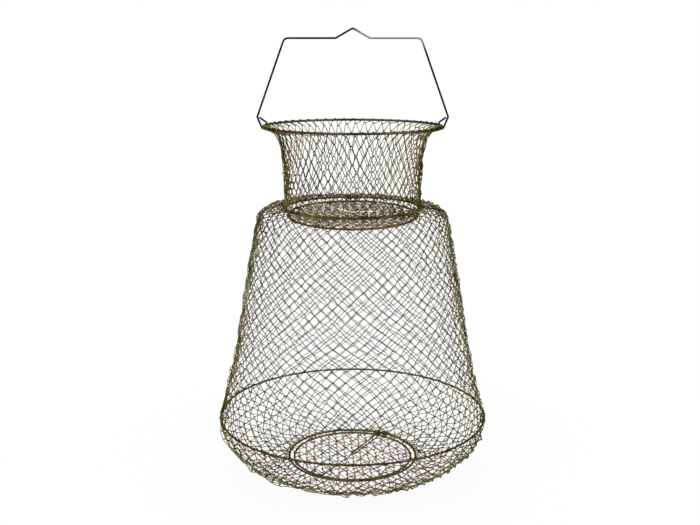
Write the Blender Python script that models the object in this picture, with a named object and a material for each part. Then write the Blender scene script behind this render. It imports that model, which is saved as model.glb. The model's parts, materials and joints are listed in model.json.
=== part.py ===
"""Wire keep net: a folding fish basket of woven wire that hangs from a wire bail.

The origin is the point that it hangs from, under the peak of the bail. Z is up, X runs from one
end of the bail to the other, and the basket hangs below. All sizes are in metres.

From the top, the basket has a rim ring, a flared collar of netting, a neck ring with a sprung
trap door under it, a body of netting, a girth ring, a bowl of netting and a ring round the
sprung hatch in the bottom. The rings are held apart by the netting alone, so the basket folds
flat when they are lifted towards the rim.
"""

import math

import bmesh
import bpy
from mathutils import Matrix, Vector

# Wires, given by diameter, and the clearance between pieces that touch
BAIL_WIRE = 0.0024
RIM_WIRE = 0.0030
RING_WIRE = 0.0024
LOOP_WIRE = 0.0012
STAY_WIRE = 0.0012
SPRING_WIRE = 0.0010
GAP = 0.0003
NET_THICKNESS = 0.0016

# Rings, by the radius and the depth below the rim of the middle of the wire, and how far each
# door's ring lies inside the ring that it hangs from
RIM_RADIUS = 0.1054
NECK_RADIUS = 0.0810
NECK_DEPTH = 0.0972
GIRTH_RADIUS = 0.1650
GIRTH_DEPTH = 0.3585
FRAME_RADIUS = 0.0805
FRAME_DEPTH = 0.4165
TRAP_RING_INSET = 0.0030
HATCH_RING_INSET = 0.0065

# Bail: a flat bar with a raised peak, straight legs that spread, and an eye round the rim
BAIL_HEIGHT = 0.1021
PEAK_RISE = 0.0114
PEAK_HALF_WIDTH = 0.0200
BAR_HALF_WIDTH = 0.0799
KNEE_OUT = 0.0078
KNEE_UP = 0.0110
PEAK_BEND = 0.0040
CORNER_BEND = 0.0065
KNEE_BEND = 0.0020
EYE_INNER_UP = 0.0072
EYE_END_UP = 0.0011

# Netting between the rings: a coarse diamond mesh that stands for the fine one, and its walls
NET_COLUMNS = 16
COLLAR_ROWS = 4
BODY_ROWS = 13
BOWL_ROWS = 6
NET_STRAND = 0.0020
COLLAR_FLARE = 0.0154
SHOULDER_OUT = 0.0345
SHOULDER_START = 0.0090
SHOULDER_RISE = 0.0020
SHOULDER_HEIGHT = 0.0180
BODY_WAIST = 0.0030
BODY_SWELL = 0.0012
BOWL_FLAT_OUT = 0.0105
BOWL_TOP_DROP = 0.0045
BOWL_SAG = 0.0050
BOWL_POWER = 1.8

# Doors: hinge loops either side of a sprung hinge, a tilt and a drop from the ring above
HINGE_HALF_WIDTH = 0.0084
TRAP_DROP = 0.0048
TRAP_TILT = math.radians(3.0)
HATCH_DROP = 0.0015
HATCH_AZIMUTH = math.radians(61.0)
DOOR_NET_THICKNESS = 0.0015
DOOR_CELL_WIDTH = 0.0210
DOOR_CELL_LENGTH = 0.0235
DOOR_STRAND = 0.0012
DOOR_EDGE = 0.0014
DOOR_EDGE_THICKNESS = 0.0013
SPRING_TURNS = 2.5
SPRING_CLEARANCE = 0.0005
SPRING_PITCH = 0.00148
TRAP_SPRING_LEG = 0.0330
HATCH_SPRING_LEG = 0.0750
SPRING_TIP_HALF_WIDTH = 0.0018
FERRULE_LENGTH = 0.0080
FERRULE_WALL = 0.0006
FERRULE_AZIMUTH = math.radians(45.0)

# Bent wires on the trap door, in the door's plane from its middle: X to the right, Y to the hinge
TRAP_STAY_LEFT = math.radians(131.0)
TRAP_STAY_RIGHT = math.radians(63.0)
TRAP_STAY_MIDDLE = (0.0, 0.004)
TRAP_STAY_ELBOW = ((0.030, 0.010), (0.036, 0.024))
TRAP_SPOKE = math.radians(-83.0)
HATCH_SPOKE = math.radians(-90.0)
HOOK_REACH = 0.0080

# Facets
AROUND = 48
WIRE_RESOLUTION = 1

# Worked out from the values above
BAIL_R = BAIL_WIRE / 2
RIM_R = RIM_WIRE / 2
RING_R = RING_WIRE / 2
EYE_R = BAIL_R + RIM_R + GAP
LOOP_R = LOOP_WIRE / 2 + RING_R + GAP
DOOR_NET_REACH = RING_R + GAP
NOTCH_HALF_WIDTH = HINGE_HALF_WIDTH + LOOP_WIRE + GAP
NOTCH_DEPTH = LOOP_R + LOOP_WIRE / 2 + 2 * GAP
TRAP_RADIUS = NECK_RADIUS - TRAP_RING_INSET
HATCH_RADIUS = FRAME_RADIUS - HATCH_RING_INSET
SHOULDER_RADIUS = NECK_RADIUS + SHOULDER_OUT
BOWL_FLAT_RADIUS = FRAME_RADIUS + BOWL_FLAT_OUT


def clear_scene():
    for obj in list(bpy.data.objects):
        bpy.data.objects.remove(obj, do_unlink=True)


def metal(name, color, roughness):
    """A bare metal in one colour."""
    mat = bpy.data.materials.new(name)
    mat.use_nodes = True
    shader = mat.node_tree.nodes["Principled BSDF"]
    shader.inputs["Base Color"].default_value = (*color, 1.0)
    shader.inputs["Metallic"].default_value = 1.0
    shader.inputs["Roughness"].default_value = roughness
    return mat


def place(name, data, mat, parent=None):
    obj = bpy.data.objects.new(name, data)
    if mat is not None:
        data.materials.append(mat)
    bpy.context.scene.collection.objects.link(obj)
    obj.parent = parent
    return obj


def wire(name, points, diameter, mat, parent=None, closed=False):
    """A round wire along a line of points, with filled ends unless it is closed."""
    curve = bpy.data.curves.new(name, "CURVE")
    curve.dimensions = "3D"
    curve.bevel_depth = diameter / 2
    curve.bevel_resolution = WIRE_RESOLUTION
    curve.use_fill_caps = not closed
    spline = curve.splines.new("POLY")
    spline.points.add(len(points) - 1)
    for point, place_at in zip(spline.points, points):
        point.co = (*place_at, 1.0)
    spline.use_cyclic_u = closed
    return place(name, curve, mat, parent)


def ring(name, radius, mat, parent=None, centre=(0.0, 0.0, 0.0), diameter=RING_WIRE):
    """A closed ring of wire, flat in its parent's XY plane."""
    points = []
    for step in range(AROUND):
        turn = 2 * math.pi * step / AROUND
        points.append(
            (centre[0] + radius * math.cos(turn), centre[1] + radius * math.sin(turn), centre[2])
        )
    return wire(name, points, diameter, mat, parent, closed=True)


def arc(centre, radius, start, end, steps):
    """Points in a plane from angle start to angle end, both included."""
    turns = [start + (end - start) * step / steps for step in range(steps + 1)]
    return [
        (centre[0] + radius * math.cos(turn), centre[1] + radius * math.sin(turn))
        for turn in turns
    ]


def rounded(corners, bends, steps=4):
    """A line in a plane through its corners, each inner one rounded to its bend radius."""
    points = [corners[0]]
    for before, corner, after, bend in zip(corners, corners[1:], corners[2:], bends):
        corner = Vector(corner)
        into = (Vector(before) - corner).normalized()
        out = (Vector(after) - corner).normalized()
        half = into.angle(out) / 2
        centre = corner + (into + out).normalized() * bend / math.sin(half)
        first = corner + into * bend / math.tan(half) - centre
        start = math.atan2(first.y, first.x)
        side = -1 if into.x * out.y > into.y * out.x else 1
        points += arc(centre, bend, start, start + side * (math.pi - 2 * half), steps)
    points.append(corners[-1])
    return points


def box_cutter(name, low, high, parent=None, turn=0.0):
    """A hidden box between two corners, turned about Z, for cutting a notch."""
    mesh = bpy.data.meshes.new(name)
    bm = bmesh.new()
    middle = (Vector(low) + Vector(high)) / 2
    size = Vector(high) - Vector(low)
    matrix = Matrix.Rotation(turn, 4, "Z") @ Matrix.Translation(middle) @ Matrix.Diagonal((*size, 1.0))
    bmesh.ops.create_cube(bm, size=1.0, matrix=matrix)
    bm.to_mesh(mesh)
    bm.free()
    cutter = place(name, mesh, None, parent)
    cutter.hide_render = True
    cutter.display_type = "WIRE"
    return cutter


def combine(obj, helper, operation):
    """Adds an exact Boolean that takes away, keeps or joins a hidden helper's shape."""
    modifier = obj.modifiers.new(helper.name, "BOOLEAN")
    modifier.operation = operation
    modifier.solver = "EXACT"
    modifier.object = helper


def revolved(name, outline, mat, parent=None, centre=(0.0, 0.0, 0.0)):
    """A solid of revolution about Z from a closed outline of (radius, height) points."""
    mesh = bpy.data.meshes.new(name)
    bm = bmesh.new()
    rows = []
    for step in range(AROUND):
        turn = 2 * math.pi * step / AROUND
        across, along = math.cos(turn), math.sin(turn)
        rows.append(
            [
                bm.verts.new((centre[0] + r * across, centre[1] + r * along, centre[2] + z))
                for r, z in outline
            ]
        )
    on_axis = [r == 0.0 for r, _ in outline]
    for row, after in zip(rows, rows[1:] + rows[:1]):
        for corner in range(len(outline)):
            follow = (corner + 1) % len(outline)
            if not (on_axis[corner] and on_axis[follow]):
                bm.faces.new((row[corner], after[corner], after[follow], row[follow]))
    bmesh.ops.remove_doubles(bm, verts=bm.verts[:], dist=1e-7)
    bmesh.ops.recalc_face_normals(bm, faces=bm.faces[:])
    bm.to_mesh(mesh)
    bm.free()
    mesh.shade_smooth()
    mesh.set_sharp_from_angle(angle=math.radians(40))
    return place(name, mesh, mat, parent)


def shortened(line, start, end):
    """The line with its first and last points moved in by the lengths start and end."""
    line = [Vector(point) for point in line]
    for length in (start, end):
        while (line[1] - line[0]).length <= length:
            length -= (line[1] - line[0]).length
            line.pop(0)
        line[0] = line[0] + (line[1] - line[0]).normalized() * length
        line.reverse()
    return line


def along_line(line, share):
    """The point that share of the way along a line."""
    lengths = [(after - before).length for before, after in zip(line, line[1:])]
    left = share * sum(lengths)
    for before, after, length in zip(line, line[1:], lengths):
        if left <= length or after is line[-1]:
            return before.lerp(after, left / length)
        left -= length


def round_net(name, line, rows, first_knot, mat):
    """Diamond netting turned about Z from the line of (radius, height) down its wall.

    Its strands have one width and are fused where they cross. The knots of every other row stand
    half a column further round than the first knot, an azimuth, and those of the first and last
    rows stand against the rings, where the real mesh hooks on.
    """
    step = 2 * math.pi / NET_COLUMNS
    length = sum((after - before).length for before, after in zip(line, line[1:]))
    row_height = length / rows
    bm = bmesh.new()
    knots = []
    for row in range(rows + 1):
        knots.append([])
        middle = along_line(line, row / rows)
        half_width = middle.x * step / 2
        slant = math.hypot(half_width, row_height)
        to_side = NET_STRAND / 2 * slant / row_height
        to_end = NET_STRAND / 2 * slant / half_width
        inset = {0: to_end, rows: -to_end}.get(row, 0.0)
        corners = ((to_side, 0.0), (0.0, -to_end), (-to_side, 0.0), (0.0, to_end))
        for column in range(NET_COLUMNS):
            turn = first_knot + (column + 0.5 * (row % 2)) * step
            knot = []
            for sideways, down in corners:
                point = along_line(line, (row * row_height + inset + down) / length)
                angle = turn + sideways / middle.x
                knot.append(bm.verts.new((*polar(point.x, angle), point.y)))
            knots[row].append(knot)
    for row, upper in enumerate(knots):
        for column, (east, north, west, south) in enumerate(upper):
            bm.faces.new((east, north, west, south))
            if row == rows:
                continue
            right = knots[row + 1][(column + row % 2) % NET_COLUMNS]
            left = knots[row + 1][(column + row % 2 - 1) % NET_COLUMNS]
            bm.faces.new((south, east, right[1], right[2]))
            bm.faces.new((west, south, left[0], left[1]))
    bmesh.ops.recalc_face_normals(bm, faces=bm.faces[:])
    mesh = bpy.data.meshes.new(name)
    bm.to_mesh(mesh)
    bm.free()
    net = place(name, mesh, mat)
    solid = net.modifiers.new("thickness", "SOLIDIFY")
    solid.thickness = NET_THICKNESS
    solid.offset = 0.0
    return net


def collar_line(rim_z):
    """The collar's wall: flared at the rim and nearly upright at the neck."""
    depths = [0.0, 0.05, 0.11, 0.19, 0.30, 0.55, 1.0]
    flare = RIM_RADIUS - NECK_RADIUS
    return [
        (
            NECK_RADIUS + flare * math.exp(-NECK_DEPTH * share / COLLAR_FLARE),
            rim_z - NECK_DEPTH * share,
        )
        for share in depths
    ]


def body_line(rim_z):
    """The body's wall: out from the neck ring, round the shoulder and down to the girth ring."""
    neck_z, girth_z = rim_z - NECK_DEPTH, rim_z - GIRTH_DEPTH
    start = NECK_RADIUS + SHOULDER_START
    across = SHOULDER_RADIUS - start
    side_z = neck_z + SHOULDER_RISE - SHOULDER_HEIGHT
    line = [(NECK_RADIUS, neck_z)]
    for angle in (90, 60, 35, 12):
        turn = math.radians(angle)
        radius = start + across * math.cos(turn)
        line.append((radius, side_z + SHOULDER_HEIGHT * math.sin(turn)))
    for share in (0.10, 0.25, 0.40, 0.60, 0.80, 1.0):
        radius = SHOULDER_RADIUS + (GIRTH_RADIUS - SHOULDER_RADIUS) * share
        radius -= BODY_WAIST * math.sin(math.pi * share)
        radius += BODY_SWELL * math.sin(2 * math.pi * share)
        line.append((radius, side_z + (girth_z - side_z) * share))
    return line


def bowl_line(rim_z):
    """The bottom's wall: a rounded bowl from the girth ring in to the hatch's frame ring."""
    top_z = rim_z - GIRTH_DEPTH - BOWL_TOP_DROP
    low_z = rim_z - FRAME_DEPTH - BOWL_SAG
    line = [(GIRTH_RADIUS, rim_z - GIRTH_DEPTH)]
    for angle in (8, 24, 38, 50, 61, 72, 90):
        turn = math.radians(angle)
        across = math.cos(turn) ** (2 / BOWL_POWER)
        down = math.sin(turn) ** (2 / BOWL_POWER)
        radius = BOWL_FLAT_RADIUS + (GIRTH_RADIUS - BOWL_FLAT_RADIUS) * across
        line.append((radius, top_z + (low_z - top_z) * down))
    line.append((FRAME_RADIUS, rim_z - FRAME_DEPTH))
    return line


def bail_side(rim_z):
    """Half of the bail as (out, up) points, from the peak to the end of the eye."""
    bar_z = rim_z + BAIL_HEIGHT
    knee = (RIM_RADIUS + KNEE_OUT, rim_z + KNEE_UP)
    corners = [(-PEAK_HALF_WIDTH, bar_z), (0.0, bar_z + PEAK_RISE), (PEAK_HALF_WIDTH, bar_z)]
    corners += [(BAR_HALF_WIDTH, bar_z), knee]
    # The outer leg runs from the knee to where it touches the circle round the rim wire.
    reach = math.hypot(KNEE_OUT, KNEE_UP)
    touch = math.atan2(KNEE_UP, KNEE_OUT) - math.acos(EYE_R / reach)
    under = arc((RIM_RADIUS, rim_z), EYE_R, touch, -math.pi, 8)
    corners.append(under[0])
    line = rounded(corners, [PEAK_BEND, PEAK_BEND, CORNER_BEND, KNEE_BEND])
    line = line[:-1] + under
    # The wire's end comes up inside the rim and over it, to rest against the leg.
    inner = (RIM_RADIUS - EYE_R, rim_z + EYE_INNER_UP)
    lean = math.atan2(knee[0] - BAR_HALF_WIDTH, bar_z - knee[1])
    beside = (BAIL_WIRE + 1.5 * GAP) / math.cos(lean) + EYE_END_UP * math.tan(lean)
    end = (knee[0] - beside, knee[1] + EYE_END_UP)
    middle_of_peak = 3
    return line[middle_of_peak:] + [inner, end]


def bail_rise():
    """How far the middle of the wire at the rounded peak stands over the rim."""
    slope = math.atan2(PEAK_RISE, PEAK_HALF_WIDTH)
    return BAIL_HEIGHT + PEAK_RISE - PEAK_BEND * (1 / math.cos(slope) - 1)


def bail(rim_z, mat):
    right = bail_side(rim_z)
    left = [(-out, up) for out, up in reversed(right[1:])]
    points = [(out, 0.0, up) for out, up in left + right]
    return wire("bail", points, BAIL_WIRE, mat)


def hinge_frame(name, ring_radius, ring_z, azimuth, tilt):
    """An empty on a door's hinge axis: its X is the axis, and the door lies towards its -Y."""
    empty = place(name, None, None)
    reach = math.sqrt(ring_radius**2 - HINGE_HALF_WIDTH**2)
    turn = azimuth - math.pi / 2
    empty.matrix_world = (
        Matrix.Rotation(turn, 4, "Z")
        @ Matrix.Translation((0.0, reach, ring_z))
        @ Matrix.Rotation(tilt, 4, "X")
    )
    return empty, reach


def door_wire(name, points, diameter, mat, parent, centre):
    """A wire given by points about the middle of the door's ring."""
    return wire(name, [tuple(Vector(p) + Vector(centre)) for p in points], diameter, mat, parent)


def hook_points(azimuth, radius, diameter):
    """The end of a wire that lies on a door and hooks over its ring, from inside outwards."""
    around = RING_R + GAP + diameter / 2
    points = []
    for out, up in arc((radius, 0.0), around, math.radians(100), math.radians(5), 4):
        points.append((out * math.cos(azimuth), out * math.sin(azimuth), up))
    return points


def on_net(point, diameter):
    """A point of the door's plane, raised so that a wire there lies on the netting."""
    return (point[0], point[1], DOOR_NET_THICKNESS / 2 + GAP + diameter / 2)


def polar(radius, azimuth):
    return (radius * math.cos(azimuth), radius * math.sin(azimuth))


def hinge_loops(prefix, door_radius, centre, mat, parent):
    """Two closed loops, each round the fixed ring's wire and the door ring's wire."""
    at_door = math.sqrt(door_radius**2 - HINGE_HALF_WIDTH**2)
    door_y, door_z = centre[1] + at_door, centre[2]
    lean = math.atan2(-door_y, door_z)
    for side, word in ((-1, "left"), (1, "right")):
        ends = arc((0.0, 0.0), LOOP_R, lean + math.pi, lean + 2 * math.pi, 6)
        ends += arc((door_y, door_z), LOOP_R, lean, lean + math.pi, 6)
        points = [(side * HINGE_HALF_WIDTH, y, z) for y, z in ends]
        wire(f"{prefix}_hinge_loop_{word}", points, LOOP_WIRE, mat, parent, closed=True)


def spring(name, leg_length, centre, mat, parent):
    """A double torsion spring: two coils round the fixed ring and a hairpin on the door."""
    coil_r = RING_R + SPRING_CLEARANCE + SPRING_WIRE / 2
    coil_end = HINGE_HALF_WIDTH - LOOP_WIRE / 2 - SPRING_WIRE / 2 - GAP
    steps = round(8 * SPRING_TURNS)
    side = []
    for step in range(steps + 1):
        turn = math.pi / 2 - 2 * math.pi * SPRING_TURNS * (1 - step / steps)
        x = coil_end - SPRING_PITCH * SPRING_TURNS * step / steps
        side.append((x, coil_r * math.cos(turn), coil_r * math.sin(turn)))
    coil_x = side[-1][0]
    net_z = centre[2] + DOOR_NET_THICKNESS / 2 + GAP + SPRING_WIRE / 2
    down = min(leg_length * 0.6, 0.020)
    side.append((coil_x, -coil_r, coil_r))
    side.append((coil_x + (SPRING_TIP_HALF_WIDTH - coil_x) * down / leg_length, -down, net_z))
    tip = arc((0.0, -leg_length), SPRING_TIP_HALF_WIDTH, 0.0, -math.pi / 2, 3)
    side += [(x, y, net_z) for x, y in tip]
    other = [(-x, y, z) for x, y, z in reversed(side[:-1])]
    points = side + other
    print(f"{name}: least gap to itself {1000 * least_self_gap(points, SPRING_WIRE):.2f} mm")
    return wire(name, points, SPRING_WIRE, mat, parent)


def least_self_gap(points, diameter):
    """The least clear distance between stretches of a wire that aren't next to each other."""
    dense = []
    for start, end in zip(points, points[1:]):
        for step in range(6):
            dense.append(Vector(start).lerp(Vector(end), step / 6))
    travelled = [0.0]
    for before, point in zip(dense, dense[1:]):
        travelled.append(travelled[-1] + (point - before).length)
    least = math.inf
    for i, first in enumerate(dense):
        for j in range(i + 1, len(dense)):
            if travelled[j] - travelled[i] > 4 * diameter:
                least = min(least, (first - dense[j]).length)
    return least - diameter


def door_net(name, door_radius, centre, mat, parent, cutters):
    """A flat disc of diamond netting, fused at its crossings, with a plain edge."""
    reach = door_radius - DOOR_NET_REACH
    half_x, half_y = DOOR_CELL_WIDTH / 2, DOOR_CELL_LENGTH / 2
    strand = DOOR_STRAND / 2
    slant = math.hypot(half_x, half_y)
    corner_x = strand * slant / half_y
    corner_y = strand * slant / half_x
    columns = math.ceil(reach / half_x) + 1
    rows = math.ceil(reach / half_y) + 1
    bm = bmesh.new()
    knots = {}
    for i in range(-columns, columns + 1):
        for j in range(-rows, rows + 1):
            if (i + j) % 2:
                continue
            x, y = centre[0] + i * half_x, centre[1] + j * half_y
            z = centre[2] - DOOR_NET_THICKNESS / 2
            knots[i, j] = [
                bm.verts.new((x + corner_x, y, z)),
                bm.verts.new((x, y + corner_y, z)),
                bm.verts.new((x - corner_x, y, z)),
                bm.verts.new((x, y - corner_y, z)),
            ]
    for (i, j), (east, north, west, south) in knots.items():
        bm.faces.new((east, north, west, south))
        if (i + 1, j + 1) in knots:
            _, _, other_west, other_south = knots[i + 1, j + 1]
            bm.faces.new((east, other_south, other_west, north))
        if (i + 1, j - 1) in knots:
            _, other_north, other_west, _ = knots[i + 1, j - 1]
            bm.faces.new((south, other_west, other_north, east))
    grown = bmesh.ops.extrude_face_region(bm, geom=bm.faces[:])
    raised = [item for item in grown["geom"] if isinstance(item, bmesh.types.BMVert)]
    bmesh.ops.translate(bm, verts=raised, vec=(0.0, 0.0, DOOR_NET_THICKNESS))
    bmesh.ops.recalc_face_normals(bm, faces=bm.faces[:])
    mesh = bpy.data.meshes.new(name)
    bm.to_mesh(mesh)
    bm.free()
    net = place(name, mesh, mat, parent)
    half = DOOR_NET_THICKNESS / 2
    middle = reach - DOOR_EDGE / 2
    keep = revolved(
        f"{name}_keep",
        [(0.0, -2 * half), (middle, -2 * half), (middle, 2 * half), (0.0, 2 * half)],
        None, parent, centre,
    )
    low, high = -DOOR_EDGE_THICKNESS / 2, DOOR_EDGE_THICKNESS / 2
    edge = revolved(
        f"{name}_edge",
        [(reach - DOOR_EDGE, low), (reach, low), (reach, high), (reach - DOOR_EDGE, high)],
        None, parent, centre,
    )
    for helper, operation in ((keep, "INTERSECT"), (edge, "UNION")):
        helper.hide_render = True
        helper.display_type = "WIRE"
        combine(net, helper, operation)
    for cutter in cutters:
        combine(net, cutter, "DIFFERENCE")
    return net


def hinge_notch(name, door_radius, centre, parent):
    """A hidden box that clears a door's netting from its hinge loops."""
    at_door = centre[1] + math.sqrt(door_radius**2 - HINGE_HALF_WIDTH**2)
    low = (-NOTCH_HALF_WIDTH, at_door - NOTCH_DEPTH, centre[2] - 2 * DOOR_NET_THICKNESS)
    high = (NOTCH_HALF_WIDTH, at_door + NOTCH_DEPTH, centre[2] + 2 * DOOR_NET_THICKNESS)
    return box_cutter(name, low, high, parent)


def ferrule(name, door_radius, centre, azimuth, mat, parent):
    """The short tube that joins the ends of the hatch ring's wire."""
    bore = RING_R + GAP
    outline = [
        (bore, -FERRULE_LENGTH / 2),
        (bore + FERRULE_WALL, -FERRULE_LENGTH / 2),
        (bore + FERRULE_WALL, FERRULE_LENGTH / 2),
        (bore, FERRULE_LENGTH / 2),
    ]
    mesh = bpy.data.meshes.new(name)
    bm = bmesh.new()
    sides = 12
    rows = []
    for step in range(sides):
        turn = 2 * math.pi * step / sides
        rows.append([bm.verts.new((r * math.cos(turn), r * math.sin(turn), z)) for r, z in outline])
    for row, after in zip(rows, rows[1:] + rows[:1]):
        for corner in range(4):
            follow = (corner + 1) % 4
            bm.faces.new((row[corner], after[corner], after[follow], row[follow]))
    bmesh.ops.recalc_face_normals(bm, faces=bm.faces[:])
    bm.to_mesh(mesh)
    bm.free()
    mesh.shade_smooth()
    mesh.set_sharp_from_angle(angle=math.radians(40))
    tube = place(name, mesh, mat, parent)
    x, y = polar(door_radius, azimuth)
    tube.location = (centre[0] + x, centre[1] + y, centre[2])
    tube.rotation_euler = (math.pi / 2, 0.0, azimuth)
    return tube


def ferrule_notch(name, door_radius, centre, azimuth, parent):
    """A hidden box that clears the hatch's netting from the ferrule."""
    depth = RING_R + GAP + FERRULE_WALL + 2 * GAP
    half = FERRULE_LENGTH / 2 + 2 * GAP
    low = (door_radius - depth, -half, -2 * DOOR_NET_THICKNESS)
    high = (door_radius + depth, half, 2 * DOOR_NET_THICKNESS)
    cutter = box_cutter(name, low, high, parent, azimuth)
    cutter.location = centre
    return cutter


def trap_door(neck_z, ring_metal, net_metal, bright):
    frame, reach = hinge_frame("trap_door_hinge", NECK_RADIUS, neck_z, math.pi / 2, TRAP_TILT)
    centre = (0.0, -reach, -TRAP_DROP)
    ring("trap_door_ring", TRAP_RADIUS, ring_metal, frame, centre)
    notch = hinge_notch("trap_door_notch", TRAP_RADIUS, centre, frame)
    door_net("trap_door_net", TRAP_RADIUS, centre, net_metal, frame, [notch])
    hinge_loops("trap_door", TRAP_RADIUS, centre, bright, frame)
    spring("trap_door_spring", TRAP_SPRING_LEG, centre, bright, frame)

    left = hook_points(TRAP_STAY_LEFT, TRAP_RADIUS, STAY_WIRE)
    right = hook_points(TRAP_STAY_RIGHT, TRAP_RADIUS, STAY_WIRE)
    inside = TRAP_RADIUS - HOOK_REACH
    stay = left[::-1]
    stay.append(on_net(polar(inside, TRAP_STAY_LEFT), STAY_WIRE))
    stay.append(on_net(TRAP_STAY_MIDDLE, STAY_WIRE))
    stay += [on_net(point, STAY_WIRE) for point in TRAP_STAY_ELBOW]
    stay.append(on_net(polar(inside, TRAP_STAY_RIGHT), STAY_WIRE))
    stay += right
    door_wire("trap_door_stay", stay, STAY_WIRE, bright, frame, centre)

    start_y = TRAP_STAY_MIDDLE[1] - STAY_WIRE - 2 * GAP
    spoke = [on_net((TRAP_STAY_MIDDLE[0], start_y), STAY_WIRE)]
    spoke.append(on_net(polar(inside, TRAP_SPOKE), STAY_WIRE))
    spoke += hook_points(TRAP_SPOKE, TRAP_RADIUS, STAY_WIRE)
    door_wire("trap_door_spoke", spoke, STAY_WIRE, bright, frame, centre)


def hatch(frame_z, ring_metal, net_metal, bright):
    frame, reach = hinge_frame("hatch_hinge", FRAME_RADIUS, frame_z, HATCH_AZIMUTH, 0.0)
    centre = (0.0, -reach, -HATCH_DROP)
    ring("hatch_ring", HATCH_RADIUS, ring_metal, frame, centre)
    turned = FERRULE_AZIMUTH - HATCH_AZIMUTH + math.pi / 2
    notches = [
        hinge_notch("hatch_notch", HATCH_RADIUS, centre, frame),
        ferrule_notch("hatch_ferrule_notch", HATCH_RADIUS, centre, turned, frame),
    ]
    door_net("hatch_net", HATCH_RADIUS, centre, net_metal, frame, notches)
    hinge_loops("hatch", HATCH_RADIUS, centre, bright, frame)
    spring("hatch_spring", HATCH_SPRING_LEG, centre, bright, frame)
    ferrule("hatch_ring_ferrule", HATCH_RADIUS, centre, turned, bright, frame)

    # The spoke's inner end hooks over the closed end of the spring's hairpin.
    tip_y = reach - HATCH_SPRING_LEG - SPRING_TIP_HALF_WIDTH
    low = on_net((0.0, 0.0), STAY_WIRE)[2]
    over = low + SPRING_WIRE + GAP
    inside = HATCH_RADIUS - HOOK_REACH
    spoke = [
        (0.0, tip_y + SPRING_WIRE + STAY_WIRE, low),
        (0.0, tip_y + SPRING_WIRE + 0.3 * STAY_WIRE, over),
        (0.0, tip_y - SPRING_WIRE - 0.3 * STAY_WIRE, over),
        (0.0, tip_y - SPRING_WIRE - 2 * STAY_WIRE, low),
        on_net(polar(inside, HATCH_SPOKE), STAY_WIRE),
    ]
    spoke += hook_points(HATCH_SPOKE, HATCH_RADIUS, STAY_WIRE)
    door_wire("hatch_spoke", spoke, STAY_WIRE, bright, frame, centre)


def main():
    clear_scene()
    dark = metal("dark_wire", (0.07, 0.06, 0.04), 0.4)
    ring_metal = metal("ring_wire", (0.22, 0.19, 0.09), 0.4)
    net_metal = metal("net_wire", (0.30, 0.27, 0.16), 0.45)
    bright = metal("brass_wire", (0.50, 0.42, 0.22), 0.35)

    rim_z = BAIL_R - bail_rise()
    neck_z, girth_z, frame_z = (rim_z - depth for depth in (NECK_DEPTH, GIRTH_DEPTH, FRAME_DEPTH))
    print(f"rim at {rim_z:.5f}, neck at {neck_z:.5f}, girth at {girth_z:.5f}, frame at {frame_z:.5f}")

    bail(rim_z, dark)
    ring("rim_ring", RIM_RADIUS, dark, centre=(0.0, 0.0, rim_z), diameter=RIM_WIRE)
    ring("neck_ring", NECK_RADIUS, ring_metal, centre=(0.0, 0.0, neck_z))
    ring("girth_ring", GIRTH_RADIUS, ring_metal, centre=(0.0, 0.0, girth_z))
    ring("hatch_frame_ring", FRAME_RADIUS, ring_metal, centre=(0.0, 0.0, frame_z))

    seat = RING_R + GAP
    collar = shortened(collar_line(rim_z), RIM_R + GAP, seat)
    body = shortened(body_line(rim_z), seat, seat)
    bowl = shortened(bowl_line(rim_z), seat, seat)
    # No knot stands at an eye of the bail or at the middle of a door's hinge.
    half_column = math.pi / NET_COLUMNS
    round_net("collar_net", collar, COLLAR_ROWS, half_column, net_metal)
    round_net("body_net", body, BODY_ROWS, half_column, net_metal)
    round_net("bottom_net", bowl, BOWL_ROWS, HATCH_AZIMUTH + half_column, net_metal)
    trap_door(neck_z, ring_metal, net_metal, bright)
    hatch(frame_z, ring_metal, net_metal, bright)


main()
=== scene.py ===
"""Looks of the wire keep net: every net as its hooked zigzag wires, on finely bent rings.

Lengths are in metres. Each net is described along its profile, the line of (radius, height)
points that its wall follows from the ring above to the ring below.
"""

import bisect
import json
import math
import random

import bpy
from mathutils import Matrix, Vector


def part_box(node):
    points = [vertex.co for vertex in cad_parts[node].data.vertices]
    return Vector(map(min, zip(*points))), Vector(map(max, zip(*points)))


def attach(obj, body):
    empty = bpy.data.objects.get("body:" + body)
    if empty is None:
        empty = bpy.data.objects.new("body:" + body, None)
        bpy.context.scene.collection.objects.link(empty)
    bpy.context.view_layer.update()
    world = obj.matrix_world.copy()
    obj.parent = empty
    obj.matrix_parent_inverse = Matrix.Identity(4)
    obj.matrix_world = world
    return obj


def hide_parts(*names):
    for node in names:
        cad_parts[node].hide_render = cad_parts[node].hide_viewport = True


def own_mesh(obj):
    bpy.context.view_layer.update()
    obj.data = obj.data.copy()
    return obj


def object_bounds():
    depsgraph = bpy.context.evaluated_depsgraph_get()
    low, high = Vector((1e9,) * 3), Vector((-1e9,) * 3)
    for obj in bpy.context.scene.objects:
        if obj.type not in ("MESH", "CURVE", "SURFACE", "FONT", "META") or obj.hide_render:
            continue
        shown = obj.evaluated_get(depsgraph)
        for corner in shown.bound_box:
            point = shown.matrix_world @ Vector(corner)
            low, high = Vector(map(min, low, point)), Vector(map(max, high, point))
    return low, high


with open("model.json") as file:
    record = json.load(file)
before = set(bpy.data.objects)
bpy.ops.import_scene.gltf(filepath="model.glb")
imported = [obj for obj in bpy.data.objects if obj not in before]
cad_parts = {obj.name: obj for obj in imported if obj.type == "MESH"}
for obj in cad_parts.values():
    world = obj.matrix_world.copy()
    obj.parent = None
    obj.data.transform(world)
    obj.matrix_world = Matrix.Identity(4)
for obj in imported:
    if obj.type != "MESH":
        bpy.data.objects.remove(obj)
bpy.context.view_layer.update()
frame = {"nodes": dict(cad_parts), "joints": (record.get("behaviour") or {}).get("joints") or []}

# The photograph's width in pixels, and the camera that its rings' ellipses give
PHOTO_WIDTH = 700
FOCAL_PIXELS = 985
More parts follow.
